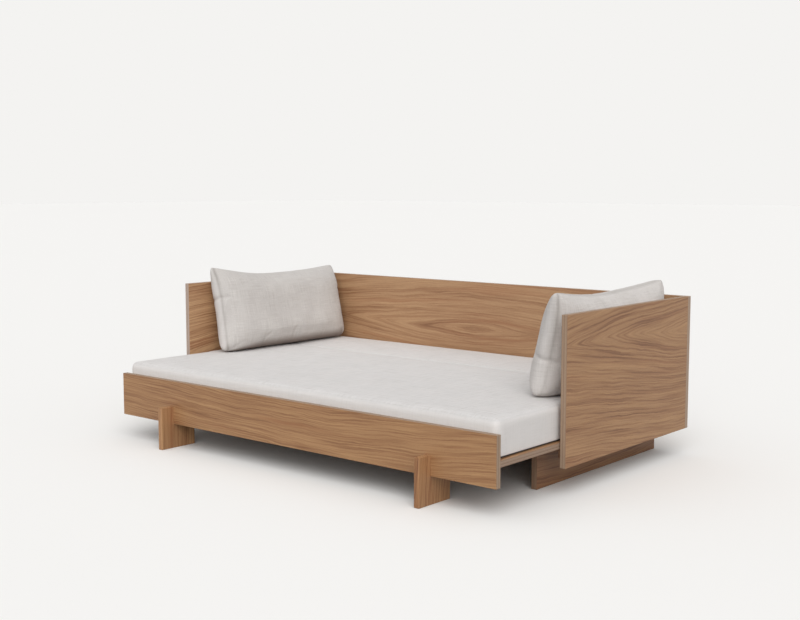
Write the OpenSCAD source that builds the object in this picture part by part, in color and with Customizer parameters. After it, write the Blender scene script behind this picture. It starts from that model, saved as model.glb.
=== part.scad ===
// Sofa bed of veneered plywood with a pull-out front, drawn open as a bed.
// X runs along the bed, Y from front to back and Z up.
// The origin is on the floor, under the middle of the open bed.

/* [Frame] */
// Outside width over the two side panels
outer_w = 2100; // [1800:10:2400]
// Thickness of every plywood board
ply_t = 24; // [18:1:30]
// Depth of a side panel, up to the back panel
side_depth = 932; // [860:1:1050]
// Height of the side panels and the back panel
panel_h = 557; // [450:1:650]
// Height of the panels' lower edges above the floor
panel_lift = 107; // [80:1:130]
// Bevel along every board edge
arris = 0.8; // [0.3:0.1:1.5]

/* [Deck and base] */
// Height of the sliding slats' top above the floor
deck_h = 199; // [185:1:220]
// Distance of a skid's outer face from the outside of the side panel
skid_inset = 140; // [110:1:200]
// Height of the cross rails
rail_h = 68; // [50:1:80]
// Distance of the front cross rail behind the side panels' front edges
rail_setback = 250; // [180:1:320]
// Thickness of the side runners, across the bed
runner_w = 24; // [18:1:30]
// Height of the side runners
runner_h = 40; // [30:1:50]
// Thickness of the glide strips on the skids
glide_t = 1; // [0.5:0.1:2]
// Width of the glide strips
glide_w = 16; // [10:1:18]
// Length of a centre foot along the bed
foot_w = 60; // [40:1:90]

/* [Slats] */
// Width of a slat
slat_w = 64; // [50:1:80]
// Width of the two outermost sliding slats
outer_slat_w = 160; // [150:1:200]
// Smallest gap between neighbouring slats
slat_gap_min = 8; // [5:1:14]

/* [Pull-out] */
// Travel of the pull-out
travel = 386; // [340:1:400]
// Height of the front board
board_h = 185; // [150:1:220]
// Height of the front board's lower edge above the floor
board_lift = 104; // [80:1:120]
// Gap between the front board and each side panel
side_gap = 4; // [2:0.5:8]
// Depth of a leg, from front to back
leg_depth = 180; // [140:1:220]
// How far a leg stands proud of the front board
leg_lip = 65; // [40:1:80]
// Height of that proud part of a leg above the floor
leg_h = 179; // [165:1:220]
// Distance of the right leg's right face from the outside of the right side panel
leg_right_inset = 312; // [290:1:400]
// Distance of the left leg's left face from the outside of the left side panel
leg_left_inset = 352; // [306:1:426]
// Radius of a leg's upright edges
leg_round = 4; // [2:0.5:8]
// Height of the cleats behind the front board
cleat_h = 48; // [36:1:60]
// Height of the tie rail under the sliding slats
tie_h = 44; // [34:1:54]
// Free space that the closed pull-out keeps in front of what stands behind it
stop_gap = 4; // [3:0.5:8]
// Diameter of a rubber bumper
bumper_d = 16; // [10:1:20]

/* [Mattress] */
// Thickness of the mattress at its edges
mattress_t = 138; // [110:1:160]
// Distance of the mattress from each end of the deck
mattress_inset = 16; // [10:1:60]
// Radius along the mattress's top edges
mattress_r = 26; // [15:1:35]
// Radius along the mattress's bottom edges
mattress_base_r = 10; // [5:1:20]
// Radius along the seam between the two sections
seam_r = 5; // [2:1:12]
// Radius of the mattress's upright corners
mattress_corner = 28; // [26:1:60]
// Rise of the mattress top over its edge
mattress_crown = 4; // [2:0.5:8]
// Gap around each mattress section
mattress_gap = 1; // [0.5:0.1:3]

/* [Cushions] */
// Length of a cushion between its corners
cushion_l = 824; // [600:1:840]
// Height of a cushion between its corners
cushion_h = 410; // [300:1:450]
// Greatest thickness of a cushion
cushion_t = 184; // [120:1:220]
// How far a cushion's top edge is drawn in
draw_top = 38; // [5:1:45]
// How far a cushion's short ends are drawn in
draw_short = 8; // [4:1:30]
// Angle at which a cushion leans against the side panel
lean = 12.5; // [5:0.5:20]
// Distance of the left cushion in front of the back panel
cushion_left_gap = 26; // [8:1:40]
// How much lower the left cushion's rear ear stands than its front ear
cushion_left_slump = 30; // [0:1:40]
// Distance of the right cushion behind the side panels' front edges
cushion_right_y = 37; // [5:1:50]

/* [Fastenings] */
// Diameter of a screw shank
screw_d = 4.5; // [3.5:0.5:6]
// Length of a screw through a slat
screw_l = 50; // [40:1:60]
// Diameter of a countersunk head
head_d = 9; // [8:0.5:11]
// Diameter of a panel dowel
dowel_d = 8; // [6:1:10]
// Length of a panel dowel
dowel_l = 38; // [30:1:42]
// Number of dowels in each side panel
dowel_n = 6; // [3:1:8]
// Leg length of an angle bracket
bracket_l = 40; // [30:1:50]
// Height of an angle bracket
bracket_h = 20; // [15:1:24]
// Thickness of an angle bracket
bracket_t = 2.5; // [2:0.5:4]
// Thickness of the felt under what stands on the floor
felt_t = 3; // [2:0.5:5]
// How far the felt stands proud of its recess
felt_proud = 1; // [0.5:0.1:1.5]
// Margin of bare wood around each felt
felt_margin = 4; // [2:0.5:6]

/* [Clearances] */
// Clearance of a halved joint on each face
halving_gap = 0.2; // [0.1:0.05:0.5]
// Clearance around screws and dowels
hole_gap = 0.1; // [0.05:0.05:0.3]
// Clearance between a soft part and what it rests on
rest_gap = 0.3; // [0.2:0.1:0.6]

/* [Hidden] */
veneer = [0.65, 0.49, 0.36];
timber = [0.74, 0.62, 0.47];
linen = [0.80, 0.78, 0.76];
steel = [0.72, 0.73, 0.75];
felt = [0.30, 0.29, 0.28];
plastic = [0.86, 0.85, 0.82];
rubber = [0.10, 0.10, 0.10];
round_fn = 32;
// How far a slot is cut past the face that it starts from
cut_over = 1;
// Share of a board's thickness that a screw reaches into, and that a dowel reaches into
screw_reach = 0.75;
dowel_reach = 0.6;

// Across the bed
inner_x = outer_w / 2 - ply_t;
deck_x = inner_x - side_gap;
skid_x = outer_w / 2 - skid_inset;
skid_mid = skid_x - ply_t / 2;
tie_x = skid_x - ply_t - stop_gap;
slat_field = 2 * (deck_x - outer_slat_w);
slide_n = floor((slat_field - slat_w - 2 * slat_gap_min) / (2 * (slat_w + slat_gap_min)));
slat_n = 2 * slide_n + 1;
slat_gap = (slat_field - slat_n * slat_w) / (slat_n + 1);
slat_pitch = slat_w + slat_gap;
function slat_x(i) = -slat_field / 2 + slat_gap + i * slat_pitch;
fixed_ids = [for (i = [0:2:slat_n - 1]) i];
slide_ids = [for (i = [1:2:slat_n - 2]) i];

// Front to back, counted from the side panels' front edges
base_front = ply_t + stop_gap;
plinth_y = side_depth - ply_t;
tie_y = plinth_y - stop_gap - ply_t - travel;
middle_y = tie_y - stop_gap - ply_t;
board_y = -travel;
board_back = board_y + ply_t;
leg_y = board_y - leg_lip;
slide_end = side_depth - stop_gap - travel;
main_end = side_depth - mattress_gap - travel;
edge_y = -(side_depth + ply_t + leg_y) / 2;

// Heights: rails, runners, cleats and tie rail all end in one plane, and every slat lies on it
slat_z = deck_h - ply_t;
rail_z = slat_z - rail_h;
halving_z = slat_z - rail_h / 2;
skid_top = slat_z - glide_t;
board_halving = (board_lift + slat_z) / 2;
mattress_z = deck_h + rest_gap;
mattress_top = mattress_z + mattress_t + mattress_crown;

rail_places = [rail_setback, middle_y];

// Outline of a rectangle with bevelled corners
function bevelled(w, h, c) = [[c, 0], [w - c, 0], [w, c], [w, h - c],
                              [w - c, h], [c, h], [0, h - c], [0, c]];

// Board with all twelve edges bevelled, its lowest corner at a
module board(a, s, c = arris) {
    translate(a) intersection() {
        linear_extrude(s.z) polygon(bevelled(s.x, s.y, c));
        translate([0, s.y, 0]) rotate([90, 0, 0]) linear_extrude(s.y) polygon(bevelled(s.x, s.z, c));
        rotate([90, 0, 90]) linear_extrude(s.x) polygon(bevelled(s.y, s.z, c));
    }
}

// Plain block between two corners
module block(a, b) {
    translate(a) cube(b - a);
}

// Everything below is placed from the side panels' front edges
module placed() {
    translate([0, edge_y, 0]) children();
}

// Countersunk screw pointing down, its head flush with the origin, grown by g
module screw(length, g = 0) {
    rotate_extrude($fn = round_fn) polygon([
        [0, 0], [head_d / 2 + g, 0], [screw_d / 2 + g, -(head_d - screw_d) / 2],
        [screw_d / 2 + g, -length - g], [0, -length - g]]);
}

// Felt strip and the recess that takes it
module felt_strip(a, b) {
    block([a.x + felt_margin, a.y + felt_margin, 0], [b.x - felt_margin, b.y - felt_margin, felt_t]);
}

module felt_recess(a, b) {
    block([a.x + felt_margin - hole_gap, a.y + felt_margin - hole_gap, 0],
          [b.x - felt_margin + hole_gap, b.y - felt_margin + hole_gap, felt_t]);
}

// Places of the dowels up the rear edge of a side panel
function dowel_z(i) = panel_lift + panel_h * (i + 0.5) / dowel_n;
dowel_places = [for (side = [-1, 1], i = [0:dowel_n - 1]) [side * (inner_x + ply_t / 2), dowel_z(i)]];
dowel_in_back = ply_t * dowel_reach;

module dowels(g = 0) {
    for (p = dowel_places)
        translate([p.x, side_depth + dowel_in_back + g, p.y])
            rotate([90, 0, 0]) cylinder(d = dowel_d + 2 * g, h = dowel_l + 2 * g, $fn = round_fn);
}

module panel_dowels() {
    color(timber) placed() dowels();
}

// Angle brackets behind the rail ends, under the side runners
bracket_lift = 2;
bracket_z = panel_lift + bracket_lift;
bracket_hole = bracket_l * 0.6;
screw_short = ply_t * screw_reach;

module at_brackets() {
    for (y = rail_places, side = [0, 1])
        mirror([side, 0, 0]) translate([inner_x, y + ply_t, bracket_z]) children();
}

module bracket_holes(g) {
    translate([-bracket_hole, bracket_t, bracket_h / 2]) rotate([-90, 0, 0]) screw(screw_short, g);
    translate([-bracket_t, bracket_hole, bracket_h / 2]) rotate([0, -90, 0]) screw(screw_short, g);
}

module rail_brackets() {
    color(steel) placed() at_brackets() difference() {
        linear_extrude(bracket_h) polygon([[-bracket_l, 0], [0, 0], [0, bracket_l],
            [-bracket_t, bracket_l], [-bracket_t, bracket_t], [-bracket_l, bracket_t]]);
        bracket_holes(hole_gap);
    }
}

// Screws through one board into the next
screw_through = ply_t + screw_short;

// Seven screws that join the rear plinth to the back panel, beside the ones in the slats
plinth_screw_z = (panel_lift + slat_z) / 2;
plinth_screw_pitch = skid_x * 0.3;
aside = slat_w / 4;
plinth_screw_x = [for (i = [-3:3]) i * plinth_screw_pitch + aside];

module plinth_screws(g = 0) {
    for (x = plinth_screw_x)
        translate([x, plinth_y, plinth_screw_z]) rotate([90, 0, 0]) screw(screw_through, g);
}

// Two screws, one over the other, through the right skid into the end of the rear plinth
skid_screw_z = [for (k = [0.3, 0.75]) slat_z - k * (slat_z - panel_lift)];

module skid_screws(g = 0) {
    for (z = skid_screw_z)
        translate([skid_x, plinth_y + ply_t / 2, z]) rotate([0, 90, 0]) screw(screw_l + ply_t / 2, g);
}

module frame_screws() {
    color(steel) placed() {
        at_brackets() bracket_holes(0);
        plinth_screws();
        for (side = [0, 1]) mirror([side, 0, 0]) skid_screws();
    }
}

module side_panel() {
    placed() difference() {
        board([inner_x, 0, panel_lift], [ply_t, side_depth, panel_h]);
        dowels(hole_gap);
        at_brackets() bracket_holes(hole_gap);
        at_runner_screws(hole_gap);
    }
}

module side_panel_right() {
    color(veneer) side_panel();
}

module side_panel_left() {
    color(veneer) mirror([1, 0, 0]) side_panel();
}

module back_panel() {
    color(veneer) placed() difference() {
        board([-outer_w / 2, side_depth, panel_lift], [outer_w, ply_t, panel_h]);
        dowels(hole_gap);
        plinth_screws(hole_gap);
    }
}

// Skid on one side, slotted from above for the cross rails
module skid() {
    inner = skid_x - ply_t;
    placed() difference() {
        board([inner, base_front, felt_proud], [ply_t, side_depth - base_front, skid_top - felt_proud]);
        for (y = rail_places)
            block([inner - cut_over, y - halving_gap, halving_z - halving_gap],
                  [skid_x + cut_over, y + ply_t + halving_gap, skid_top + cut_over]);
        felt_recess([inner, base_front], [skid_x, side_depth]);
        skid_screws(hole_gap);
    }
}

module skid_right() {
    color(veneer) skid();
}

module skid_left() {
    color(veneer) mirror([1, 0, 0]) skid();
}

// Rear plinth between the skids
plinth_x = skid_x - ply_t;

module rear_plinth() {
    color(veneer) placed() difference() {
        board([-plinth_x, plinth_y, felt_proud], [2 * plinth_x, ply_t, slat_z - felt_proud]);
        felt_recess([-plinth_x, plinth_y], [plinth_x, side_depth]);
        plinth_screws(hole_gap);
        fixed_screws(hole_gap);
        for (side = [0, 1]) mirror([side, 0, 0]) skid_screws(hole_gap);
    }
}

// Cross rail from side panel to side panel, slotted from below for the skids
module cross_rail(y) {
    placed() difference() {
        board([-inner_x, y, rail_z], [2 * inner_x, ply_t, rail_h]);
        for (side = [-1, 1])
            block([side * skid_mid - ply_t / 2 - halving_gap, y - cut_over, rail_z - cut_over],
                  [side * skid_mid + ply_t / 2 + halving_gap, y + ply_t + cut_over, halving_z]);
        at_brackets() bracket_holes(hole_gap);
        fixed_screws(hole_gap);
    }
}

module cross_rail_front() {
    color(timber) cross_rail(rail_setback);
}

module cross_rail_middle() {
    color(timber) cross_rail(middle_y);
}

// Stretches between the cross rails, from the base's front to the back panel
stretches = [[base_front, rail_setback], [rail_setback + ply_t, middle_y],
             [middle_y + ply_t, side_depth]];
runner_screw_pitch = 170;

// Screws through the right runner into the side panel
module at_runner_screws(g = 0) {
    for (s = stretches) {
        n = max(1, round((s[1] - s[0]) / runner_screw_pitch));
        for (i = [0:n - 1])
            translate([inner_x - runner_w, s[0] + (s[1] - s[0]) * (i + 0.5) / n, slat_z - runner_h / 2])
                rotate([0, -90, 0]) screw(runner_w + screw_short, g);
    }
}

module runner_screws() {
    color(steel) placed() for (side = [0, 1]) mirror([side, 0, 0]) at_runner_screws();
}

module side_runner() {
    placed() difference() {
        for (s = stretches)
            board([inner_x - runner_w, s[0], slat_z - runner_h], [runner_w, s[1] - s[0], runner_h]);
        at_runner_screws(hole_gap);
    }
}

module side_runner_right() {
    color(timber) side_runner();
}

module side_runner_left() {
    color(timber) mirror([1, 0, 0]) side_runner();
}

// Glide strips along the skids' tops, a little short of the rails
glide_end = 1;

module glide_strips() {
    color(plastic) placed() for (side = [-1, 1], s = stretches)
        block([side * skid_mid - glide_w / 2, s[0] + glide_end, skid_top],
              [side * skid_mid + glide_w / 2, s[1] - glide_end, slat_z]);
}

module centre_feet() {
    color(timber) placed() for (y = rail_places) difference() {
        board([-foot_w / 2, y, felt_proud], [foot_w, ply_t, rail_z - felt_proud]);
        felt_recess([-foot_w / 2, y], [foot_w / 2, y + ply_t]);
    }
}

module base_felts() {
    color(felt) placed() {
        for (side = [0, 1]) mirror([side, 0, 0])
            felt_strip([skid_x - ply_t, base_front], [skid_x, side_depth]);
        felt_strip([-plinth_x, plinth_y], [plinth_x, side_depth]);
        for (y = rail_places) felt_strip([-foot_w / 2, y], [foot_w / 2, y + ply_t]);
    }
}

// Screws through the fixed slats into the cross rails and the rear plinth
module fixed_screws(g = 0) {
    for (i = fixed_ids, y = concat(rail_places, [plinth_y]))
        translate([slat_x(i) + slat_w / 2, y + ply_t / 2, slat_z + ply_t]) screw(screw_l, g);
}

module fixed_slat_screws() {
    color(steel) placed() fixed_screws();
}

module fixed_slats() {
    color(veneer) placed() difference() {
        for (i = fixed_ids)
            board([slat_x(i), base_front, slat_z], [slat_w, side_depth - base_front, ply_t]);
        fixed_screws(hole_gap);
    }
}

// Screws through the sliding slats into the cleats and the tie rail, moved aside where a leg stands
leg_left_x = leg_left_inset - outer_w / 2;
leg_right_x = outer_w / 2 - leg_right_inset - ply_t;
leg_spans = [for (x = [leg_left_x, leg_right_x]) [x, x + ply_t]];
function on_leg(x) = len([for (s = leg_spans) if (x > s[0] - head_d && x < s[1] + head_d) 1]) > 0;
slide_mid = [for (i = slide_ids) slat_x(i) + slat_w / 2];
function off_leg(x) = on_leg(x) ? x + aside : x;
outer_in = (deck_x - outer_slat_w + tie_x) / 2;

module sliding_screws(g = 0) {
    for (x = concat(slide_mid, [-outer_in, outer_in]), y = [board_back, tie_y])
        translate([y == tie_y ? x : off_leg(x), y + ply_t / 2, deck_h]) screw(screw_l, g);
}

// Dowels that join the front board and the two wide outer slats, edge to face
slat_dowel_n = 3;
slat_dowel_pitch = outer_slat_w / (slat_dowel_n + 1);

module outer_dowels(g = 0) {
    for (side = [-1, 1], i = [1:slat_dowel_n])
        translate([side * (deck_x - i * slat_dowel_pitch), board_back - dowel_in_back - g,
                   deck_h - ply_t / 2])
            rotate([-90, 0, 0]) cylinder(d = dowel_d + 2 * g, h = dowel_l + 2 * g, $fn = round_fn);
}

module slat_dowels() {
    color(timber) placed() outer_dowels();
}

module sliding_slat_screws() {
    color(steel) placed() sliding_screws();
}

module sliding_slat(x, w) {
    placed() difference() {
        board([x, board_back, slat_z], [w, slide_end - board_back, ply_t]);
        sliding_screws(hole_gap);
        outer_dowels(hole_gap);
    }
}

module sliding_slats() {
    color(veneer) for (i = slide_ids) sliding_slat(slat_x(i), slat_w);
}

module outer_slat_left() {
    color(veneer) sliding_slat(-deck_x, outer_slat_w);
}

module outer_slat_right() {
    color(veneer) sliding_slat(deck_x - outer_slat_w, outer_slat_w);
}

module tie_rail() {
    color(timber) placed() difference() {
        board([-tie_x, tie_y, slat_z - tie_h], [2 * tie_x, ply_t, tie_h]);
        sliding_screws(hole_gap);
    }
}

// Rubber bumpers on both faces of the tie rail, the outer ones bumper_inset from its ends
bumper_l = stop_gap - rest_gap;
bumper_inset = 88;
bumper_x = [for (i = [-1, -0.4, 0.4, 1]) i * (tie_x - bumper_inset)];

module stop_bumpers() {
    color(rubber) placed() for (x = bumper_x, front = [0, 1])
        translate([x, tie_y + (1 - front) * (ply_t + bumper_l), slat_z - tie_h / 2])
            rotate([90, 0, 0]) cylinder(d = bumper_d, h = bumper_l, $fn = round_fn);
}

// Front board, slotted from below for the legs
module front_board() {
    color(veneer) placed() difference() {
        board([-deck_x, board_y, board_lift], [2 * deck_x, ply_t, board_h]);
        for (s = leg_spans)
            block([s[0] - halving_gap, board_y - cut_over, board_lift - cut_over],
                  [s[1] + halving_gap, board_back + cut_over, board_halving]);
        cleat_holes(hole_gap);
        outer_dowels(hole_gap);
    }
}

// Upright leg with rounded edges, slotted from above for the front board.
// Its lip stands proud of the board, and behind the board it ends under the slats.
module leg(x) {
    right_x = x + ply_t;
    r = leg_round;
    placed() difference() {
        translate([x, leg_y, felt_proud]) linear_extrude(leg_h - felt_proud) {
            translate([r, 0]) square([ply_t - 2 * r, leg_depth]);
            translate([0, r]) square([ply_t, leg_depth - 2 * r]);
            for (cx = [r, ply_t - r], cy = [r, leg_depth - r])
                translate([cx, cy]) circle(r, $fn = round_fn);
        }
        block([x - cut_over, board_y - halving_gap, board_halving - halving_gap],
              [right_x + cut_over, board_back + halving_gap, leg_h + cut_over]);
        block([x - cut_over, board_back, slat_z],
              [right_x + cut_over, leg_y + leg_depth + cut_over, leg_h + cut_over]);
        felt_recess([x, leg_y], [right_x, leg_y + leg_depth]);
    }
}

module leg_left() {
    color(veneer) leg(leg_left_x);
}

module leg_right() {
    color(veneer) leg(leg_right_x);
}

module leg_felts() {
    color(felt) placed() for (s = leg_spans)
        felt_strip([s[0], leg_y], [s[1], leg_y + leg_depth]);
}

// Cleats that carry the sliding slats behind the front board, past the legs and up to the skids
cleats = [[-tie_x, leg_left_x - halving_gap],
          [leg_left_x + ply_t + halving_gap, leg_right_x - halving_gap],
          [leg_right_x + ply_t + halving_gap, tie_x]];
cleat_screw_z = slat_z - cleat_h * 0.8;
cleat_screw_pitch = 230;

// Horizontal screws through the cleats into the board, spread along each cleat
module cleat_holes(g = 0) {
    for (c = cleats) {
        n = max(1, round((c[1] - c[0]) / cleat_screw_pitch));
        for (i = [0:n - 1])
            translate([c[0] + (c[1] - c[0]) * (i + 0.5) / n, board_back + ply_t, cleat_screw_z])
                rotate([-90, 0, 0]) screw(screw_through, g);
    }
}

module cleat_screws() {
    color(steel) placed() cleat_holes();
}

module front_cleats() {
    color(timber) placed() difference() {
        for (c = cleats)
            board([c[0], board_back, slat_z - cleat_h], [c[1] - c[0], ply_t, cleat_h]);
        sliding_screws(hole_gap);
        cleat_holes(hole_gap);
    }
}

// Rounded rectangle, anticlockwise: half length a, from y0 to y1, with corner radii r0 and r1
corner_steps = 6;
function ring(a, y0, y1, r0, r1, z) = [for (q = [0:3], i = [0:corner_steps])
    let (r = q < 2 ? r1 : r0, cx = (q == 0 || q == 3 ? 1 : -1) * (a - r),
         cy = q < 2 ? y1 - r : y0 + r, w = 90 * q + 90 * i / corner_steps)
    [cx + r * cos(w), cy + r * sin(w), z]];

// Mattress profile as [inset from the side, height], from the bottom to the crowned top.
// The side bulges a little at mid height, and the crown is reached crown_run behind the edge.
edge_steps = 5;
crown_run = 110;
side_bulge = 0.8;
function mattress_profile(t, r, base_r, crown) = concat(
    [for (i = [0:edge_steps]) let (w = 90 * i / edge_steps) base_r * [1 - sin(w), 1 - cos(w)]],
    [[-side_bulge, t / 2]],
    [for (i = [0:edge_steps]) let (w = 90 * i / edge_steps) [r * (1 - cos(w)), t - r * (1 - sin(w))]],
    [for (k = [0.25, 0.6, 1]) [r + crown_run * k, t + crown * (1 - pow(1 - k, 2))]]);

// Upholstered slab from y0 to y1 with rounded edges and a low crown, its bottom on z = 0.
// The seam side, 0 for y0 or 1 for y1, has tight corners and a tight edge.
module slab(y0, y1, seam) {
    tight = seam_r / mattress_r;
    t = mattress_t;
    crown = mattress_crown;
    rows = [for (p = mattress_profile(t, mattress_r, mattress_base_r, crown))
        let (in0 = max(p[0], 0) * (seam == 0 ? tight : 1), in1 = max(p[0], 0) * (seam == 1 ? tight : 1),
             round_r = max(mattress_corner - p[0], seam_r))
        ring(mattress_l / 2 - p[0], y0 + in0, y1 - in1, seam == 0 ? seam_r : round_r,
             seam == 1 ? seam_r : round_r, p[1])];
    middle = (y0 + y1) / 2;
    n = len(rows[0]);
    m = len(rows);
    points = concat([for (row = rows, p = row) p], [[0, middle, 0], [0, middle, t + crown]]);
    sides = [for (j = [0:m - 2], i = [0:n - 1]) let (a = j * n + i, b = j * n + (i + 1) % n)
        each [[a, a + n, b], [b, a + n, b + n]]];
    ends = [for (i = [0:n - 1]) let (k = (i + 1) % n)
        each [[m * n, i, k], [m * n + 1, (m - 1) * n + k, (m - 1) * n + i]]];
    polyhedron(points, concat(sides, ends), convexity = 4);
}

mattress_l = 2 * (deck_x - mattress_inset);
main_front = board_back + mattress_gap + side_bulge;
rear_back = side_depth - mattress_gap;

module mattress_main() {
    color(linen) placed() translate([0, 0, mattress_z]) slab(main_front, main_end, 1);
}

module mattress_rear() {
    color(linen) placed() translate([0, 0, mattress_z]) slab(main_end + mattress_gap, rear_back, 0);
}

// Cushion: two crowned faces that meet in an edge drawn in between four corners.
// u runs along the cushion and v up it, each from -1 to 1. Its filling has sunk to the foot,
// so the foot is blunt and nearly straight, and the top edge is thin and hollow.
cushion_u = 26;
cushion_v = 18;
// Lowest place of the hollow in the top edge, and how pointed it is
hollow_at = -0.25;
hollow_power = 1.8;
// Share of that hollow that the foot has
foot_draw = 0.08;
// Sharpness of the top corners, and of the lower corners, and how near them the rounding stays
ear_sharp = 24;
foot_sharp = 18;
corner_near = 6;
// How the cushion thins towards its top, how blunt its foot is and how full its ends are
top_curve = 1.9;
top_thin = 0.48;
foot_blunt = 9;
ends_full = 5.5;
function half_l(v) = cushion_l / 2 - draw_short * (1 - v * v);
function off_hollow(u) = abs(u - hollow_at) / (u < hollow_at ? 1 + hollow_at : 1 - hollow_at);
// A slump lowers the top edge more and more towards the rear ear
function half_h(u, v, slump) = cushion_h / 2 - (v > 0 ? slump * (1 + u) / 2 : 0)
    - draw_top * (v > 0 ? 1 - pow(off_hollow(u), hollow_power) : foot_draw * (1 - u * u));
function fill_up(v) = v < 0 ? sqrt(1 - pow(-v, foot_blunt)) : pow(1 - pow(v, top_curve), top_thin);
function fill_along(u) = sqrt(1 - pow(abs(u), ends_full));
// How far a point is drawn to the middle, so that the corners are rounded
function drawn(u, v, sharp) = let (m = max(abs(u), abs(v)))
    m == 0 ? 1 : 1 - (1 - m / pow(pow(abs(u), sharp) + pow(abs(v), sharp), 1 / sharp)) * pow(m, corner_near);
function along(i, n) = sin(90 * (2 * i / n - 1));
function cushion_point(u, v, face, slump) = let (k = drawn(u, v, v > 0 ? ear_sharp : foot_sharp))
    [face * fill_up(v) * fill_along(u) * cushion_t / 2, k * u * half_l(v), k * v * half_h(u, v, slump)];
function leaned(p) = [p.x * cos(lean) + p.z * sin(lean), p.y, p.z * cos(lean) - p.x * sin(lean)];
function on_rim(i, j) = i == 0 || i == cushion_u || j == 0 || j == cushion_v;
cushion_cols = cushion_u + 1;
cushion_size = cushion_cols * (cushion_v + 1);

// Number of a grid point: rim points belong to both faces
function cushion_id(f, i, j) = (on_rim(i, j) ? 0 : f * cushion_size) + j * cushion_cols + i;
// Each quad's diagonal points at the nearest corner, so no triangle lies on the rim alone
function cushion_quad(f, i, j) = let (a = cushion_id(f, i, j), b = cushion_id(f, i + 1, j),
    c = cushion_id(f, i + 1, j + 1), d = cushion_id(f, i, j + 1),
    rising = (i < cushion_u / 2) == (j < cushion_v / 2),
    quad = rising ? [[a, b, c], [a, c, d]] : [[b, d, a], [b, c, d]])
    f == 0 ? quad : [for (t = quad) [t[0], t[2], t[1]]];

function cushion_points(slump) = [for (face = [-1, 1], j = [0:cushion_v], i = [0:cushion_u])
    leaned(cushion_point(along(i, cushion_u), along(j, cushion_v), on_rim(i, j) ? 0 : face, slump))];

// Cushion that leans on the right side panel, its front end at front_y
module cushion(front_y, slump) {
    points = cushion_points(slump);
    x = inner_x - rest_gap - max([for (p = points) p.x]);
    z = mattress_top + rest_gap - min([for (p = points) p.z]);
    placed() translate([x, front_y + cushion_l / 2, z]) polyhedron(points,
        [for (f = [0, 1], j = [0:cushion_v - 1], i = [0:cushion_u - 1]) each cushion_quad(f, i, j)],
        convexity = 4);
}

module cushion_right() {
    color(linen) cushion(cushion_right_y, 0);
}

module cushion_left() {
    color(linen) mirror([1, 0, 0]) cushion(side_depth - cushion_left_gap - cushion_l, cushion_left_slump);
}

side_panel_left();
side_panel_right();
back_panel();
skid_left();
skid_right();
rear_plinth();
cross_rail_front();
cross_rail_middle();
side_runner_left();
side_runner_right();
fixed_slats();
glide_strips();
centre_feet();
panel_dowels();
rail_brackets();
frame_screws();
runner_screws();
fixed_slat_screws();
base_felts();
front_board();
leg_left();
leg_right();
front_cleats();
cleat_screws();
slat_dowels();
tie_rail();
sliding_slats();
outer_slat_left();
outer_slat_right();
sliding_slat_screws();
stop_bumpers();
leg_felts();
mattress_main();
mattress_rear();
cushion_left();
cushion_right();
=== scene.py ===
"""Sofa bed with a pull-out front: looks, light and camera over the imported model."""
import math

import bmesh
import bpy
from mathutils import Matrix, Vector, noise


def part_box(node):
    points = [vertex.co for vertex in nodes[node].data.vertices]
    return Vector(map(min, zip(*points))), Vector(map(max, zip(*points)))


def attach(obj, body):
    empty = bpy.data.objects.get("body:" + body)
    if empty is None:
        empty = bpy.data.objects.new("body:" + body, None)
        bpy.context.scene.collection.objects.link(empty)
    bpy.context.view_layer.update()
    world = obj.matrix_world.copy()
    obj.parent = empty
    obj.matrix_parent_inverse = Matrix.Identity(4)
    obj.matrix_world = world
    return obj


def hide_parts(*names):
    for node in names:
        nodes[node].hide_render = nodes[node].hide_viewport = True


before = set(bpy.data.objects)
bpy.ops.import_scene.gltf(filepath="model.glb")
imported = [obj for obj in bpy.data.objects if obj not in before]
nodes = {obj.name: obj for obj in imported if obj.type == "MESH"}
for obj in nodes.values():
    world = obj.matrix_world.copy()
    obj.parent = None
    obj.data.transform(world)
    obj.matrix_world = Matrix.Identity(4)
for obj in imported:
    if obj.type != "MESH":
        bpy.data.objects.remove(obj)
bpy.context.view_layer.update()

# ---------------------------------------------------------------- camera

# solved from the edges of the panels, board, legs, skid and mattress in the photo
LENS_MM, SENSOR_MM = 52.82, 36
CAMERA_AT = (3.2689, -3.7971, 1.1242)
CAMERA_TILT, CAMERA_TURN = 83.916, 40.222

cam_data = bpy.data.cameras.new("camera")
cam_data.lens = LENS_MM
cam_data.sensor_width = SENSOR_MM
cam = bpy.data.objects.new("camera", cam_data)
cam.location = CAMERA_AT
cam.rotation_euler = (math.radians(CAMERA_TILT), 0, math.radians(CAMERA_TURN))
bpy.context.collection.objects.link(cam)
bpy.context.scene.camera = cam


# ---------------------------------------------------------------- material helpers

def rgb(r, g, b):
    """An sRGB colour of 0 to 255, as linear values."""
    return tuple(((c / 255 + 0.055) / 1.055) ** 2.4 if c > 10 else c / 255 / 12.92 for c in (r, g, b)) + (1,)


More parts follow.
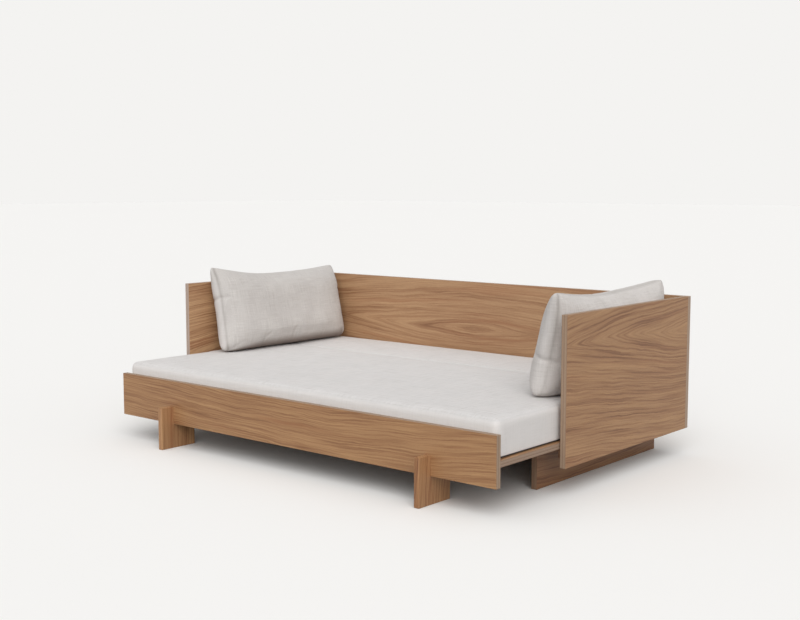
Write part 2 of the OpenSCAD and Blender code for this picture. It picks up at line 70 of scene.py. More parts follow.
class Graph:
    """Builds one material out of nodes."""

    def __init__(self, name, roughness, **shader):
        self.mat = bpy.data.materials.new(name)
        self.mat.use_nodes = True
        self.tree = self.mat.node_tree
        self.tree.nodes.clear()
        self.out = self.tree.nodes.new("ShaderNodeOutputMaterial")
        self.bsdf = self.tree.nodes.new("ShaderNodeBsdfPrincipled")
        self.tree.links.new(self.bsdf.outputs[0], self.out.inputs[0])
        self.set(Roughness=roughness, **shader)
        coords = self.tree.nodes.new("ShaderNodeTexCoord")
        self.object = coords.outputs["Object"]
        self.normal = coords.outputs["Normal"]

    def put(self, value, socket):
        """Links value to the socket, or sets it there."""
        if isinstance(value, bpy.types.NodeSocket):
            self.tree.links.new(value, socket)
        else:
            socket.default_value = value

    def set(self, **values):
        """Sets or links inputs of the shader, with an underscore for each space in a name."""
        for k, v in values.items():
            self.put(v, self.bsdf.inputs[k.replace("_", " ")])

    def add(self, kind, inputs, out=0, **props):
        """Adds a node and gives one of its outputs."""
        n = self.tree.nodes.new("ShaderNode" + kind)
        for k, v in props.items():
            setattr(n, k, v)
        for k, v in (inputs.items() if isinstance(inputs, dict) else enumerate(inputs)):
            self.put(v, n.inputs[k])
        return n.outputs[out]

    def math(self, operation, *values, clamp=False):
        return self.add("Math", values, operation=operation, use_clamp=clamp)

    def times(self, a, b):
        return self.math("MULTIPLY", a, b)

    def split(self, v):
        n = self.tree.nodes.new("ShaderNodeSeparateXYZ")
        self.put(v, n.inputs[0])
        return n.outputs[0], n.outputs[1], n.outputs[2]

    def join(self, x, y, z):
        return self.add("CombineXYZ", (x, y, z))

    def stretch(self, parts, x, y, z):
        """A vector of the three parts, multiplied by x, y and z."""
        return self.join(*[self.times(part, k) for part, k in zip(parts, (x, y, z))])

    def attribute(self, name):
        n = self.tree.nodes.new("ShaderNodeAttribute")
        n.attribute_name = name
        return n.outputs["Fac"]

    def noise(self, vector, scale=1.0, detail=2.0, rough=0.5, distortion=0.0):
        return self.add("TexNoise", {"Vector": vector, "Scale": scale, "Detail": detail,
                                     "Roughness": rough, "Distortion": distortion})

    def remap(self, value, lo, hi, to_lo=0.0, to_hi=1.0):
        return self.add("MapRange", (value, lo, hi, to_lo, to_hi))

    def mix(self, factor, a, b, blend="MIX"):
        return self.add("Mix", {0: factor, 6: a, 7: b}, out=2, data_type="RGBA", blend_type=blend)

    def mixf(self, factor, a, b):
        return self.add("Mix", {0: factor, 2: a, 3: b}, out=0, data_type="FLOAT")

    def ramp(self, value, stops, mode="LINEAR"):
        n = self.tree.nodes.new("ShaderNodeValToRGB")
        self.put(value, n.inputs[0])
        n.color_ramp.interpolation = mode
        for i, (pos, colour) in enumerate(stops):
            e = n.color_ramp.elements[i] if i < 2 else n.color_ramp.elements.new(pos)
            e.position = pos
            e.color = colour
        return n.outputs[0]

    def bump(self, height, distance, strength):
        return self.add("Bump", {"Strength": strength, "Distance": distance, "Height": height})


# ---------------------------------------------------------------- veneer, ply edges and timber

X, Y, Z = 0, 1, 2
PLAIN = (1.0, 1.0, 1.0)
LIGHT, WARM, MID, DARK = rgb(182, 143, 104), rgb(167, 128, 92), rgb(160, 120, 85), rgb(128, 88, 59)
RED, PORE = rgb(142, 88, 56), rgb(92, 62, 42)
PLY_PALE, PLY_GREY, PLY_DARK = rgb(172, 148, 128), rgb(161, 136, 115), rgb(134, 110, 91)
PLY_FACE, PLY_FIBRE = rgb(150, 116, 88), rgb(108, 88, 74)
RING_POWER = 1.3  # the shape of the arches: 1 is pointed and 2 is round
FAR_HEART = 0.9  # how far across from its middle the rings of a straight-lined board close
ROUND_CORNER = 0.8  # how much of a step through the thickness counts as one across, where the edges are veneered
WOOD_BUMP = (0.0004, 0.5)  # distance and strength


def veneer(name, node, grain, face, seed, spine=None, heart=0.0, taper=0.13, calm=1.0, tint=PLAIN, ply=PLAIN,
           plies=True):
    """Plain-sliced veneer on the faces across axis face, with the grain along axis grain, and bare plies on the
    edges, or veneer there too where plies is false. The rings close round the point (heart, spine), in metres along
    and across the board: long arches near it, straight lines far from it. A larger taper makes shorter arches, calm
    scales the contrast, tint the colour, and ply the colour of the edges once more."""
    g = Graph(name, roughness=0.5)
    lo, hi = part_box(node)
    across = 3 - grain - face
    at = g.split(g.object)
    s = seed * 7.31

    def field(side, a, c, detail, rough=0.5, extra=0.0):
        """Noise with a lumps a metre along the grain and c a metre along the coordinate side."""
        return g.noise(g.join(g.times(along_v, a), g.times(side, c), s + extra), detail=detail, rough=rough)

    def sway(value, amount):
        """Noise turned into a shift of up to half that amount either way."""
        return g.times(g.math("SUBTRACT", value, 0.5), amount)

    along_v = g.math("ADD", at[grain], s)
    over = at[across] if plies else g.math("ADD", at[across], g.times(at[face], ROUND_CORNER))
    bent = g.math("ADD", over, sway(field(over, 1.1, 1.6, 1.0), 0.11))
    bent = g.math("ADD", bent, sway(field(over, 4.5, 10.0, 1.0, extra=4), 0.016))
    bent = g.math("ADD", bent, sway(field(over, 17.0, 60.0, 2.0, extra=6), 0.0075))
    middle = spine if spine is not None else (lo[across] + hi[across]) / 2 + FAR_HEART
    d = g.math("SUBTRACT", bent, middle)
    e = g.times(g.math("SUBTRACT", at[grain], heart), taper)
    d, e = [g.math("POWER", g.math("ABSOLUTE", k), RING_POWER) for k in (d, e)]
    r = g.math("POWER", g.math("ADD", d, e), 1 / RING_POWER)
    fine = field(r, 3.6, 215.0, 2.0, 0.55, 11)
    middling = field(r, 1.9, 82.0, 2.0, 0.55, 12)
    wide = field(r, 0.8, 22.0, 1.0, 0.55, 13)
    tone = g.math("ADD", sway(fine, 1.4 * calm), sway(middling, 0.85 * calm))
    tone = g.math("ADD", g.math("ADD", tone, sway(wide, 0.5 * calm)), 0.5)
    colour = g.ramp(tone, [(0.18, DARK), (0.47, MID), (0.56, WARM), (0.85, LIGHT)])
    red = field(r, 1.3, 30.0, 1.0, 0.55, 14)
    colour = g.mix(g.remap(red, 0.6, 0.78, 0.0, 0.4), colour, RED)
    fibre = field(bent, 11.0, 420.0, 2.0, 0.6, 21)
    pores = field(bent, 60.0, 1500.0, 1.0, extra=22)
    colour = g.mix(g.remap(fibre, 0.3, 0.7, 0.16, 0.0), colour, DARK)
    colour = g.mix(g.remap(pores, 0.62, 0.72, 0.0, 0.35), colour, PORE)
    relief = g.math("ADD", g.times(fibre, 0.5), g.times(pores, -0.6))
    sheen = g.remap(fibre, 0.2, 0.8, 0.46, 0.58)

    if not plies:
        narrow = g.remap(g.math("ABSOLUTE", g.split(g.normal)[across]), 0.75, 0.85)
        colour = g.mix(narrow, colour, (*ply, 1), "MULTIPLY")
        g.set(Base_Color=g.mix(1.0, colour, (*tint, 1), "MULTIPLY"), Roughness=sheen,
              Normal=g.bump(relief, *WOOD_BUMP))
        return g.mat

    # plies, seen wherever the surface isn't the board's face
    t = g.math("DIVIDE", g.math("SUBTRACT", at[face], lo[face]), hi[face] - lo[face])
    layers = g.ramp(t, [(0.0, PLY_FACE), (0.03, PLY_GREY), (0.2, PLY_PALE), (0.38, PLY_DARK), (0.45, PLY_GREY),
                        (0.62, PLY_PALE), (0.8, PLY_GREY), (0.97, PLY_FACE)], "CONSTANT")
    edge_grain = g.noise(g.stretch((at[grain], at[across], at[face]), 90.0, 90.0, 900.0), detail=3.0, rough=0.6)
    layers = g.mix(g.remap(edge_grain, 0.3, 0.7, 0.0, 0.28), layers, PLY_FIBRE)
    layers = g.mix(1.0, layers, (*ply, 1), "MULTIPLY")
    facing = g.math("ABSOLUTE", g.split(g.normal)[face])
    edge = g.remap(facing, 0.75, 0.85, 1.0, 0.0)
    g.set(Base_Color=g.mix(1.0, g.mix(edge, colour, layers), (*tint, 1), "MULTIPLY"))
    g.set(Roughness=g.mixf(edge, sheen, 0.72), Normal=g.bump(g.mixf(edge, relief, edge_grain), *WOOD_BUMP))
    return g.mat


def timber(name, grain, seed):
    """Plain planed softwood: faint straight lines along the grain."""
    g = Graph(name, roughness=0.6)
    at = list(g.split(g.object))
    along_v = g.math("ADD", at.pop(grain), seed * 5.17)
    fine = g.noise(g.stretch((along_v, *at), 3.0, 160.0, 160.0))
    broad = g.noise(g.stretch((along_v, *at), 1.0, 30.0, 30.0))
    colour = g.mix(g.remap(broad, 0.3, 0.7), rgb(212, 184, 144), rgb(196, 162, 119))
    colour = g.mix(g.remap(fine, 0.45, 0.72, 0.0, 0.5), colour, rgb(168, 130, 88))
    g.set(Base_Color=colour, Roughness=g.remap(fine, 0.3, 0.7, 0.5, 0.65), Normal=g.bump(fine, 0.0004, 0.4))
    return g.mat


def paint(node, material):
    """Gives a node one material over all its faces."""
    o = nodes[node]
    o.data.materials.clear()
    o.data.materials.append(material)


# the left side panel's tint, and partly the back panel's, are raised as painted light for their inner faces, shaded
# in the niche
paint("back_panel", veneer("veneer_back_panel", "back_panel", X, Y, 3.1, spine=0.453, heart=-0.05, taper=0.09,
                           calm=0.64, tint=(1.08, 1.13, 1.19)))
paint("side_panel_right", veneer("veneer_side_right", "side_panel_right", Y, X, 1.7, spine=0.546, heart=0.9,
                                 taper=0.11, tint=(0.91, 0.88, 0.83)))
paint("side_panel_left", veneer("veneer_side_left", "side_panel_left", Y, X, 5.3, spine=0.30, heart=0.1,
                                taper=0.12, tint=(1.21, 1.27, 1.34), ply=(1.05, 1.09, 1.19)))
paint("front_board", veneer("veneer_front_board", "front_board", X, Y, 8.9, calm=0.9, tint=(1.01, 0.98, 0.90),
                            ply=(0.90, 0.93, 0.98)))
for i, (name, tint, ply) in enumerate((("leg_left", (1.03, 0.98, 0.92), (0.98, 0.97, 0.96)),
                                       ("leg_right", (1.0, 0.95, 0.88), (0.88, 0.82, 0.77)))):
    paint(name, veneer("veneer_" + name, name, Z, X, 11.3 + 2.9 * i, calm=0.9, tint=tint, ply=ply,
                       plies=False))
for i, name in enumerate(("skid_left", "skid_right")):
    paint(name, veneer("veneer_" + name, name, Y, X, 17.1 + 2.3 * i, tint=(0.65, 0.56, 0.48)))
paint("rear_plinth", veneer("veneer_rear_plinth", "rear_plinth", X, Y, 23.7, spine=0.1, heart=0.3))
for i, name in enumerate(("fixed_slats", "sliding_slats", "outer_slat_left", "outer_slat_right")):
    paint(name, veneer("veneer_" + name, name, Y, Z, 29.9 + 3.7 * i, tint=(0.95, 0.9, 0.87),
                       ply=(0.90, 0.93, 0.96)))
for i, name in enumerate(("side_runner_left", "side_runner_right")):
    paint(name, veneer("stained_" + name, name, Y, X, 44.1 + 2.3 * i, tint=(0.62, 0.55, 0.5), plies=False))
for i, (name, grain) in enumerate((("cross_rail_front", X), ("cross_rail_middle", X), ("centre_feet", X),
                                   ("front_cleats", X), ("tie_rail", X), ("panel_dowels", Y), ("slat_dowels", Y))):
    paint(name, timber("timber_" + name, grain, i + 1.3))


# ---------------------------------------------------------------- steel, felt, plastic and rubber

def steel(name):
    """Zinc-plated steel with fine turned lines."""
    g = Graph(name, roughness=0.34, Metallic=1.0)
    cloud = g.noise(g.object, scale=260.0, detail=3.0)
    lines = g.noise(g.stretch(g.split(g.object), 900.0, 900.0, 3000.0), detail=1.0)
    g.set(Base_Color=g.ramp(cloud, [(0.3, rgb(150, 150, 152)), (0.7, rgb(190, 190, 192))]),
          Roughness=g.remap(cloud, 0.3, 0.7, 0.28, 0.44), Normal=g.bump(lines, 0.0002, 0.25))
    return g.mat


def fibrous(name, a, b):
    """Felt: short tangled hairs between the colours a and b."""
    g = Graph(name, roughness=0.95, Sheen_Weight=0.3)
    hair = g.noise(g.object, scale=900.0, detail=4.0, rough=0.7, distortion=1.2)
    g.set(Base_Color=g.ramp(hair, [(0.35, a), (0.65, b)]), Normal=g.bump(hair, 0.0008, 0.8))
    return g.mat


def moulded(name, a, b, roughness):
    """Moulded plastic or rubber with a fine grit."""
    g = Graph(name, roughness=roughness)
    cloud = g.noise(g.object, scale=60.0, detail=2.0)
    grit = g.noise(g.object, scale=1800.0, detail=2.0)
    g.set(Base_Color=g.ramp(cloud, [(0.35, a), (0.65, b)]),
          Roughness=g.remap(grit, 0.3, 0.7, roughness - 0.06, roughness + 0.06), Normal=g.bump(grit, 0.0002, 0.5))
    return g.mat


steel_mat = steel("zinc_plated_steel")
felt_mat = fibrous("felt", rgb(62, 60, 58), rgb(92, 89, 86))
for name in ("rail_brackets", "frame_screws", "runner_screws", "fixed_slat_screws", "cleat_screws",
             "sliding_slat_screws"):
    paint(name, steel_mat)
for name in ("base_felts", "leg_felts"):
    paint(name, felt_mat)
paint("glide_strips", moulded("glide_plastic", rgb(214, 212, 206), rgb(226, 224, 218), 0.35))
paint("stop_bumpers", moulded("bumper_rubber", rgb(26, 26, 26), rgb(38, 38, 38), 0.7))


# ---------------------------------------------------------------- linen

THREAD_DARK, THREAD_PALE, THREAD_COARSE = rgb(158, 150, 141), rgb(226, 222, 216), rgb(172, 164, 156)
# the stitches' colour also carries painted shade in the seam grooves and in the creases at the pinches
BETWEEN_THREADS, STITCH_AND_CREASE_SHADE = rgb(140, 132, 124), rgb(120, 112, 104)
# painted shade for a cushion's foot, and painted light for its ends
FOOT_SHADE, END_PAINTED_LIGHT = rgb(94, 66, 47), rgb(232, 228, 225)
# painted shade round a cover's top edge, painted light on its upright sides, and a painted shade along its foot
EDGE_SHADE, SIDE_PAINTED_LIGHT, SOLE_PAINTED_SHADE = rgb(186, 182, 179), rgb(226, 221, 217), rgb(58, 55, 53)
SOLE_BLUR = 0.0008
CLOTH_BUMP = (0.0006, 0.6)
COVER_THREAD, CUSHION_THREAD = 0.0012, 0.0014


def linen(name, pale, deep, u, v, w, thread, sole=None):
    """Plain-woven linen. u, v and w are the object's axes along the warp, along the weft and out of the cloth:
    where the cloth turns, the weave keeps to whichever two axes lie in it. thread is the pitch of its threads.
    Stitches, with painted shade along their grooves and in the creases at the pinches, a painted shade on the foot
    and painted light on the ends follow the mesh's values seam, foot and end. Where a height sole is given, it's the
    cover
    of a foam section: painted shade round the top edge, painted light on the upright sides and a dark painted shade
    below that height, where it rests on the slats."""
    g = Graph(name, roughness=0.9, Sheen_Weight=0.12, Sheen_Roughness=0.5, Specular_IOR_Level=0.25)
    at = g.split(g.object)
    n = [g.math("ABSOLUTE", k) for k in g.split(g.normal)]
    out_w = g.remap(n[w], 0.6, 0.75)
    out_v = g.times(g.math("SUBTRACT", 1.0, out_w), g.math("GREATER_THAN", n[v], n[u]))
    p = g.mixf(g.math("SUBTRACT", 1.0, g.math("ADD", out_w, out_v), clamp=True), at[u], at[w])
    q = g.mixf(out_v, at[v], at[w])
    wavy = g.noise(g.object, scale=6.0, detail=2.0)
    drift = g.times(g.math("SUBTRACT", wavy, 0.5), 0.004)
    p, q = g.math("ADD", p, drift), g.math("ADD", q, drift)
    turn = 2 * math.pi / thread
    weave = g.times(*[g.math("SINE", g.times(k, turn)) for k in (p, q)])

    def slubs(along_p, along_q, layer):
        """Noise with along_p lumps a metre along p and along_q along q."""
        return g.noise(g.join(g.times(p, along_p), g.times(q, along_q), layer))

    threads = g.math("ADD", slubs(14.0, 520.0, 0.0), slubs(520.0, 14.0, 3.0))
    coarse = g.math("ADD", slubs(6.0, 130.0, 5.0), slubs(130.0, 6.0, 8.0))
    cloud = g.noise(g.object, scale=9.0, detail=3.0)
    colour = g.mix(g.remap(cloud, 0.25, 0.75), pale, deep)
    colour = g.mix(g.remap(threads, 1.02, 1.4, 0.0, 0.45), colour, THREAD_DARK)
    colour = g.mix(g.remap(threads, 0.98, 0.65, 0.0, 0.5), colour, THREAD_PALE)
    colour = g.mix(g.remap(coarse, 1.0, 1.35, 0.0, 0.26), colour, THREAD_COARSE)
    colour = g.mix(g.remap(weave, -1.0, 1.0, 0.14, 0.0), colour, BETWEEN_THREADS)
    # the seam value darkens the stitch lines, with painted shade in their grooves and in the creases at the pinches
    colour = g.mix(g.times(g.attribute("seam"), 0.5), colour, STITCH_AND_CREASE_SHADE)
    # painted shade: the foot darkens towards where the cushion rests on the mattress
    colour = g.mix(g.times(g.attribute("foot"), 0.74), colour, FOOT_SHADE)
    # painted light: the faces turned along Y, the cushion's ends, are paler
    colour = g.mix(g.attribute("end"), colour, END_PAINTED_LIGHT)
    if sole is not None:
        # painted shade on the rounded top edge, against the bright band the lamps give it, and painted light on the
        # upright sides
        up2 = g.times(n[w], n[w])
        turned = g.times(up2, g.math("SUBTRACT", 1.0, up2))
        colour = g.mix(g.times(turned, 0.8), colour, EDGE_SHADE)
        colour = g.mix(g.remap(up2, 0.5, 0.1, 0.0, 0.6), colour, SIDE_PAINTED_LIGHT)
        # painted shade: a dark band along the foot, where the section rests on the slats
        colour = g.mix(g.remap(at[Z], sole - SOLE_BLUR, sole + SOLE_BLUR, 1.0, 0.0), colour, SOLE_PAINTED_SHADE)
    fine = g.math("ADD", g.times(weave, 0.4), threads)
    g.set(Base_Color=colour, Normal=g.bump(fine, *CLOTH_BUMP))
    return g.mat


# ---------------------------------------------------------------- soft pieces

def new_object(name, verts, faces, smooth=True):
    me = bpy.data.meshes.new(name)
    me.from_pydata(verts, [], faces)
    me.update()
    bm = bmesh.new()
    bm.from_mesh(me)
    bmesh.ops.recalc_face_normals(bm, faces=bm.faces)
    bm.to_mesh(me)
    bm.free()
    for p in me.polygons:
        p.use_smooth = smooth
    o = bpy.data.objects.new(name, me)
    bpy.context.collection.objects.link(o)
    return o


def apply(o):
    """Turns an object's modifiers into its mesh."""
    dg = bpy.context.evaluated_depsgraph_get()
    me = bpy.data.meshes.new_from_object(o.evaluated_get(dg))
    o.modifiers.clear()
    old = o.data
    o.data = me
    bpy.data.meshes.remove(old)
    for p in o.data.polygons:
        p.use_smooth = True


def inflate(o, pressure, cap, frames, hold):
    """Swells o as cloth under pressure. Each point moves by cap at the most, its share of Y and Z given in hold."""
    rest = [v.co.copy() for v in o.data.vertices]
    mod = o.modifiers.new("cloth", "CLOTH")
    cloth = mod.settings
    cloth.quality = 5
    cloth.mass = 0.3
    cloth.use_pressure = True
    cloth.uniform_pressure_force = pressure
    cloth.tension_stiffness = 15
    cloth.compression_stiffness = 15
    cloth.shear_stiffness = 5
    cloth.bending_stiffness = 0.5
    cloth.effector_weights.gravity = 0
    mod.collision_settings.use_collision = False
    mod.point_cache.frame_end = frames
    scene = bpy.context.scene
    for f in range(1, frames + 1):
        scene.frame_set(f)
    apply(o)
    scene.frame_set(1)
    for v, p, k in zip(o.data.vertices, rest, hold):
        step = v.co - p
        step.y *= k
        step.z *= k
        v.co = p + step * min(1.0, cap / max(step.length, 1e-9))


def bell(x, middle, width):
    return math.exp(-((x - middle) / width) ** 2)


def smooth_step(lo, hi, x):
    t = min(1.0, max(0.0, (x - lo) / (hi - lo)))
    return t * t * (3 - 2 * t)


CUSHION_L, CUSHION_H, CUSHION_T = 0.824, 0.410, 0.184
EAR_RISE = 0.0065  # what swelling and smoothing take off the ears
DRAW_SHORT, FOOT_DRAW = 0.008, 0.003  # how far the short ends and the foot are drawn in
HOLLOW_AT, HOLLOW_POWER = -0.25, 1.8  # where the top edge is lowest, and how fast it rises from there
FOOT_CORNER, EAR_CORNER = 18.0, 24.0  # powers of the outline's corners: the larger, the sharper
FOOT_BLUNT, FOOT_SOFTER, ENDS_FULL, TOP_FULL = 9.0, 2.5, 5.5, 1.9  # powers of the thickness towards the rim
RIM_PINCH, PINCH_WIDTH = 0.004, 0.05
CREASE, CREASE_WIDTH = 0.1, 0.03  # share of the thickness that the pinch takes off near an end
ROOM, ROOM_MIDDLE = 0.006, 0.008  # left free for swelling: everywhere, and more in the middle
THINNEST = 0.0015
LEAN = math.radians(12.5)  # of both cushions, against the side panels
PRESSURE, SWELL_CAP, SWELL_FRAMES = 3.0, 0.012, 14
SEAM_DEPTH = 0.0016
PRESSED = 0.002  # how far the panel and the mattress flatten a cushion
FADE_FRONT, FADE_REAR = 0.22, 0.06  # how far from its ends the shade on the foot fades


def cushion_point(u, v, face, kink, draw, slump, ear, thin, slim):
    """A point of the cushion's shell: u runs along it and v up it, from -1 to 1. The filling has sunk, so the top is
    thin and drawn in, the foot is blunt, the rear ear stands lower by slump and the front ear by ear. Its ends are
    pinched at the height kink, and the face on the bed's side is slimmer there by slim: how much, where, how far."""
    p = FOOT_CORNER if v < 0 else EAR_CORNER
    m = max(abs(u), abs(v))
    squeeze = 1 - (1 - m / (abs(u) ** p + abs(v) ** p) ** (1 / p)) * m ** 6 if m > 0 else 1.0
    near = smooth_step(0.86, 0.99, abs(u))
    pinch = RIM_PINCH * bell(v, kink, PINCH_WIDTH) * near
    s = (HOLLOW_AT - u) / (1 + HOLLOW_AT) if u < HOLLOW_AT else (u - HOLLOW_AT) / (1 - HOLLOW_AT)
    half_l = CUSHION_L / 2 - DRAW_SHORT * (1 - v * v) - pinch
    if v > 0:
        half_h = CUSHION_H / 2 + EAR_RISE - draw * (1 - s ** HOLLOW_POWER)
        half_h = half_h - slump * (1 + u) / 2 - ear * ((1 - u) / 2) ** 8
    else:
        half_h = CUSHION_H / 2 - FOOT_DRAW * (1 - u * u)
    if m > 0.9999:
        return Vector((0.0, u * squeeze * half_l, v * squeeze * half_h))
    blunt = FOOT_BLUNT - FOOT_SOFTER * (1 - u ** 6)
    up = (1 - (-v) ** blunt) ** 0.5 if v < 0 else (1 - v ** TOP_FULL) ** thin
    along = (1 - abs(u) ** ENDS_FULL) ** 0.5
    crease = 1 - CREASE * bell(v, kink, CREASE_WIDTH) * near
    room = ROOM + ROOM_MIDDLE * bell(v, 0.05, 0.4)
    full = up * along * (crease * CUSHION_T / 2 - room)
    if face < 0:
        full *= 1 - slim[0] * u ** 8 * bell(v, slim[1], slim[2])
    x = max(THINNEST, full)
    return Vector((face * x, u * squeeze * half_l, v * squeeze * half_h))


def cushion_mesh(name, seam_face, seam_column, seam_low, crease_columns, nu=110, nv=58, **form):
    """The cushion's shell in its own frame: X out of its face, Y along it and Z up it. Also gives each vertex's seam
    value and how freely it may swell. The end seams lie on one face, a few columns in from the rim, and are as
    strong as seam_low below the pinch."""
    def spread(k, n):
        """-1 to 1 in n steps, closer together towards both ends."""
        t = 2 * k / n - 1
        return 0.6 * t + 0.4 * math.sin(math.pi / 2 * t)

    verts, faces, index, seam, free = [], [], {}, [], []
    for face in (-1, 1):
        for j in range(nv + 1):
            for i in range(nu + 1):
                if face > 0 and (i in (0, nu) or j in (0, nv)):
                    index[1, i, j] = index[-1, i, j]
                    continue
                u, v = spread(i, nu), spread(j, nv)
                index[face, i, j] = len(verts)
                verts.append(cushion_point(u, v, face, **form))
                column = min(i, nu - i)
                sewn = 0.5 if j in (0, nv) else 0.0
                if face == seam_face and 0 < j < nv:
                    sewn = max(0.0, 1.0 - 0.65 * abs(column - seam_column))
                    sewn *= 1.0 if v > form["kink"] else seam_low
                # painted shade in the crease at the pinch, near the ends
                pinched = bell(v, form["kink"], 0.022) * max(0.0, 1 - column / crease_columns)
                seam.append(max(sewn, 0.8 * pinched))
                free.append(0.6 - 0.5 * smooth_step(0.7, 1.0, max(abs(u), abs(v))))
    for face in (-1, 1):
        for j in range(nv):
            for i in range(nu):
                ring = (i, j), (i + 1, j), (i + 1, j + 1), (i, j + 1)
                faces.append([index[face, a, b] for a, b in ring][::face])
    return new_object(name, verts, faces), seam, free


def cushion(side, node, shade, pale_ends, **form):
    """One cushion leaning on a side panel, side 1 for the right one: built to lean against +X, mirrored for the left.
    Its foot gets painted shade up to the height shade, and its ends painted light, paler by pale_ends."""
    o, seam, free = cushion_mesh(node + "_cover", **form)
    inflate(o, PRESSURE, SWELL_CAP, SWELL_FRAMES, free)
    for v, w in zip(o.data.vertices, seam):
        p = v.co
        q = Vector((p.x * 6, p.y * 7 + side, p.z * 9))
        uneven = noise.noise(q) * 0.002 + noise.noise(q * 3.1) * 0.0008
        v.co = p + v.normal * (uneven * max(0.0, 1 - w) - SEAM_DEPTH * w)
    values = o.data.attributes.new("seam", "FLOAT", "POINT")
    values.data.foreach_set("value", seam)
    sub = o.modifiers.new("smooth", "SUBSURF")
    sub.levels = sub.render_levels = 1
    apply(o)
    lo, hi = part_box(node)
    turn = Matrix.Rotation(LEAN, 4, "Y")
    pts = [turn @ v.co for v in o.data.vertices]
    wall = hi[0] if side > 0 else -lo[0]
    shift = Vector((wall - max(p.x for p in pts) + PRESSED, (lo[1] + hi[1]) / 2,
                    lo[2] - min(p.z for p in pts) - PRESSED))
    for v, p in zip(o.data.vertices, pts):
        p = p + shift
        v.co = (min(p.x, wall) * side, p.y, max(p.z, lo[2]))
    if side < 0:
        o.data.flip_normals()
    foot, end = [], []
    # foot: painted shade, darkest where the cushion rests, fading with height and towards its ends
    for v in o.data.vertices:
        inward = min(1.0, max(0.0, v.co.y - lo[1]) / FADE_FRONT) ** 0.75 * smooth_step(0.0, FADE_REAR, hi[1] - v.co.y)
        foot.append(1 - smooth_step(0.2, 1.0, (v.co.z - lo[2]) / max(shade * inward, 1e-4)))
        # end: painted light on the faces turned along Y
        end.append(pale_ends * smooth_step(0.75, 0.97, abs(v.normal.y)))
    for key, numbers in (("foot", foot), ("end", end)):
        values = o.data.attributes.new(key, "FLOAT", "POINT")
        values.data.foreach_set("value", numbers)
    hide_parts(node)
    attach(o, node)
    return o


COLUMNS, LAYERS, ROW = 200, 16, 0.0105  # faces along X and Z, and their length along Y
CORNER, R_TOP, R_LOW, R_SEAM = 0.028, 0.026, 0.010, 0.005  # radii: upright corners, top, foot, edge at the seam
CROWN, CROWN_WIDTH = 0.004, 0.14  # how far the top rises towards the middle, and over what distance


def slab_mesh(name, lo, hi, seam):
    """A foam section in its cover: rounded edges and corners, and a slight crown. seam is 1 or -1 for the Y side with
    the tight edge, where it meets the other section."""
    counts = (COLUMNS, round((hi[1] - lo[1]) / ROW), LAYERS)
    size = [h - l for l, h in zip(lo, hi)]
    verts, faces, index = [], [], {}

    def vertex(key):
        """The number of a grid point on the slab's skin: even along X and Y, closer at the top and foot along Z."""
        if key not in index:
            index[key] = len(verts)
            verts.append([0.5 - 0.5 * math.cos(math.pi * k / n) if axis == 2 else k / n
                          for axis, (k, n) in enumerate(zip(key, counts))])
        return index[key]

    for axis in range(3):
        a, b = [k for k in range(3) if k != axis]
        for end in (0, counts[axis]):
            for i in range(counts[a]):
                for j in range(counts[b]):
                    quad = []
                    for di, dj in ((0, 0), (1, 0), (1, 1), (0, 1)):
                        key = [0, 0, 0]
                        key[axis], key[a], key[b] = end, i + di, j + dj
                        quad.append(vertex(tuple(key)))
                    faces.append(quad)

    top = hi[2] - CROWN
    middle = (lo[2] + top) / 2
    done = []
    for t in verts:
        p = Vector([l + s * k for l, s, k in zip(lo, size, t)])
        p.z = lo[2] + (top - lo[2]) * t[2]
        edge_y = hi[1] if p.y > (lo[1] + hi[1]) / 2 else lo[1]
        sewn = seam * (edge_y - (lo[1] + hi[1]) / 2) > 0
        big = R_SEAM if sewn else CORNER
        base = Vector((min(max(p.x, lo[0] + big), hi[0] - big), min(max(p.y, lo[1] + big), hi[1] - big), 0))
        out = Vector((p.x - base.x, p.y - base.y, 0))
        if out.length > 0:
            reach = max(abs(out.x), abs(out.y))
            out.normalize()
            r = R_TOP if p.z > middle else R_LOW
            if sewn:
                r = r + (min(r, R_SEAM) - r) * abs(out.y)
            r = min(r, big)
            core = Vector((min(reach, big - r), min(max(p.z, lo[2] + r), top - r)))
            push = Vector((reach, p.z)) - core
            if push.length > 0 and r > 0:
                push = push.normalized() * r
            reach, p.z = core + push
            p.x, p.y = base.x + out.x * reach, base.y + out.y * reach
        inside = min(p.x - lo[0], hi[0] - p.x, p.y - lo[1], hi[1] - p.y)
        if p.z > middle:
            lift = CROWN * (1 - (1 - min(1.0, inside / CROWN_WIDTH)) ** 2)
            soft = 0.0009 * noise.noise(Vector((p.x * 3.1, p.y * 3.1, 1.7))) - 0.0007
            p.z += (lift + soft) * (p.z - middle) / (top - middle)
        done.append(p)
    return new_object(name, done, faces)


def mattress(node, body, seam):
    """One section of the mattress, riding on a body."""
    lo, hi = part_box(node)
    o = slab_mesh(node + "_cover", lo, hi, seam)
    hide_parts(node)
    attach(o, body)
    return o


front_section = mattress("mattress_main", "pull_out", 1)
rear_section = mattress("mattress_rear", "rear_section", -1)
left = cushion(-1, "cushion_left", 0.064, 0.42, kink=0.25, draw=0.038, slump=0.031, ear=0.0, thin=0.48,
               slim=(0.22, -0.3, 0.6), seam_face=-1, seam_column=2, seam_low=1.0, crease_columns=3.5)
right = cushion(1, "cushion_right", 0.03, 0.15, kink=-0.25, draw=0.033, slump=0.006, ear=0.0045, thin=0.42,
                slim=(0.30, -0.1, 0.8), seam_face=1, seam_column=2, seam_low=0.5, crease_columns=7)

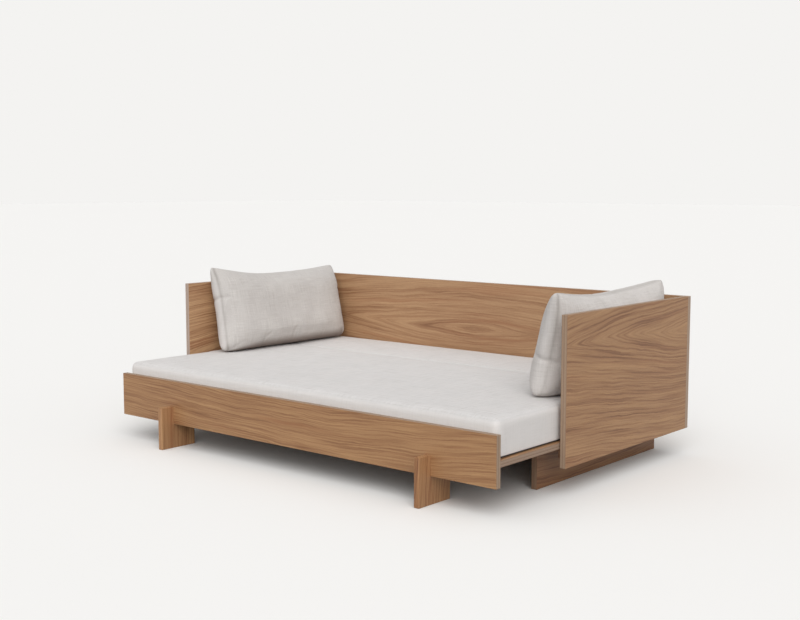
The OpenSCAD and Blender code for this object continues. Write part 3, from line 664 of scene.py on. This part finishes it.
# the front section has a painted shade along its foot, a dark band where it rests on the slats; the rear one, which
# stands as a backrest, is plain linen all round
SOLE_SHADE_HIGH, NO_SOLE = 0.008, -1.0
for o, soled in ((front_section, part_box("mattress_main")[0][2] + SOLE_SHADE_HIGH), (rear_section, NO_SOLE)):
    o.data.materials.append(linen(o.name.replace("cover", "linen"), rgb(225, 222, 221), rgb(219, 217, 216),
                                  X, Y, Z, COVER_THREAD, sole=soled))
# the left cushion's linen is set darker than the right's as painted shade on its face, which the lamps light more
for o, name, pale, deep in ((left, "cushion_linen_left", rgb(204, 200, 196), rgb(192, 187, 184)),
                            (right, "cushion_linen_right", rgb(213, 208, 205), rgb(202, 197, 193))):
    o.data.materials.append(linen(name, pale, deep, Y, Z, X, CUSHION_THREAD))


# ---------------------------------------------------------------- floor and light

PALE = rgb(244, 243, 241)
BOUNCE = 0.36  # the share of light that the floor throws back, however pale it looks
AMBIENT = 0.47
FAR = 60
corners = [(-FAR, -FAR, 0), (FAR, -FAR, 0), (FAR, FAR, 0), (-FAR, FAR, 0)]
floor = new_object("studio_floor", corners, [(0, 1, 2, 3)], smooth=False)
g = Graph("studio_floor", roughness=1.0, Specular_IOR_Level=0.0)
g.set(Base_Color=g.mix(g.remap(g.noise(g.object, scale=0.6), 0.3, 0.7, 0.0, 0.02), PALE, rgb(238, 237, 235)))
bounce = g.tree.nodes.new("ShaderNodeBsdfDiffuse")
bounce.inputs["Color"].default_value = (BOUNCE, BOUNCE, BOUNCE, 1)
ray = g.tree.nodes.new("ShaderNodeLightPath")
pick = g.add("MixShader", (g.math("MAXIMUM", ray.outputs["Is Camera Ray"], ray.outputs["Is Glossy Ray"]),
                           bounce.outputs[0], g.bsdf.outputs[0]))
g.tree.links.new(pick, g.out.inputs[0])
floor.data.materials.append(g.mat)

world = bpy.data.worlds.new("studio")
bpy.context.scene.world = world
world.use_nodes = True
tree = world.node_tree
tree.nodes.clear()
path = tree.nodes.new("ShaderNodeLightPath")
seen = tree.nodes.new("ShaderNodeMath")
seen.operation = "MAXIMUM"
tree.links.new(path.outputs["Is Camera Ray"], seen.inputs[0])
tree.links.new(path.outputs["Is Glossy Ray"], seen.inputs[1])
light = tree.nodes.new("ShaderNodeBackground")
light.inputs["Color"].default_value = (1, 1, 1, 1)
light.inputs["Strength"].default_value = AMBIENT
shown = tree.nodes.new("ShaderNodeBackground")
shown.inputs["Color"].default_value = PALE
shown.inputs["Strength"].default_value = 1.0
both = tree.nodes.new("ShaderNodeMixShader")
tree.links.new(seen.outputs[0], both.inputs[0])
tree.links.new(light.outputs[0], both.inputs[1])
tree.links.new(shown.outputs[0], both.inputs[2])
world_out = tree.nodes.new("ShaderNodeOutputWorld")
tree.links.new(both.outputs[0], world_out.inputs[0])


def sun(name, azimuth, elevation, strength, spread):
    """A broad, even light from that azimuth (0 is in front, 90 is the right) and elevation."""
    data = bpy.data.lights.new(name, "SUN")
    data.energy = strength
    data.angle = math.radians(spread)
    o = bpy.data.objects.new(name, data)
    a, e = math.radians(azimuth), math.radians(elevation)
    back = Vector((math.sin(a) * math.cos(e), -math.cos(a) * math.cos(e), math.sin(e)))
    o.rotation_mode = "QUATERNION"
    o.rotation_quaternion = back.to_track_quat("Z", "Y")
    bpy.context.collection.objects.link(o)


sun("key", 44, 50, 1.0, 50)
sun("front", 41, 18, 1.34, 50)
sun("top", 0, 85, 0.52, 90)
bpy.context.scene.view_settings.view_transform = "Standard"
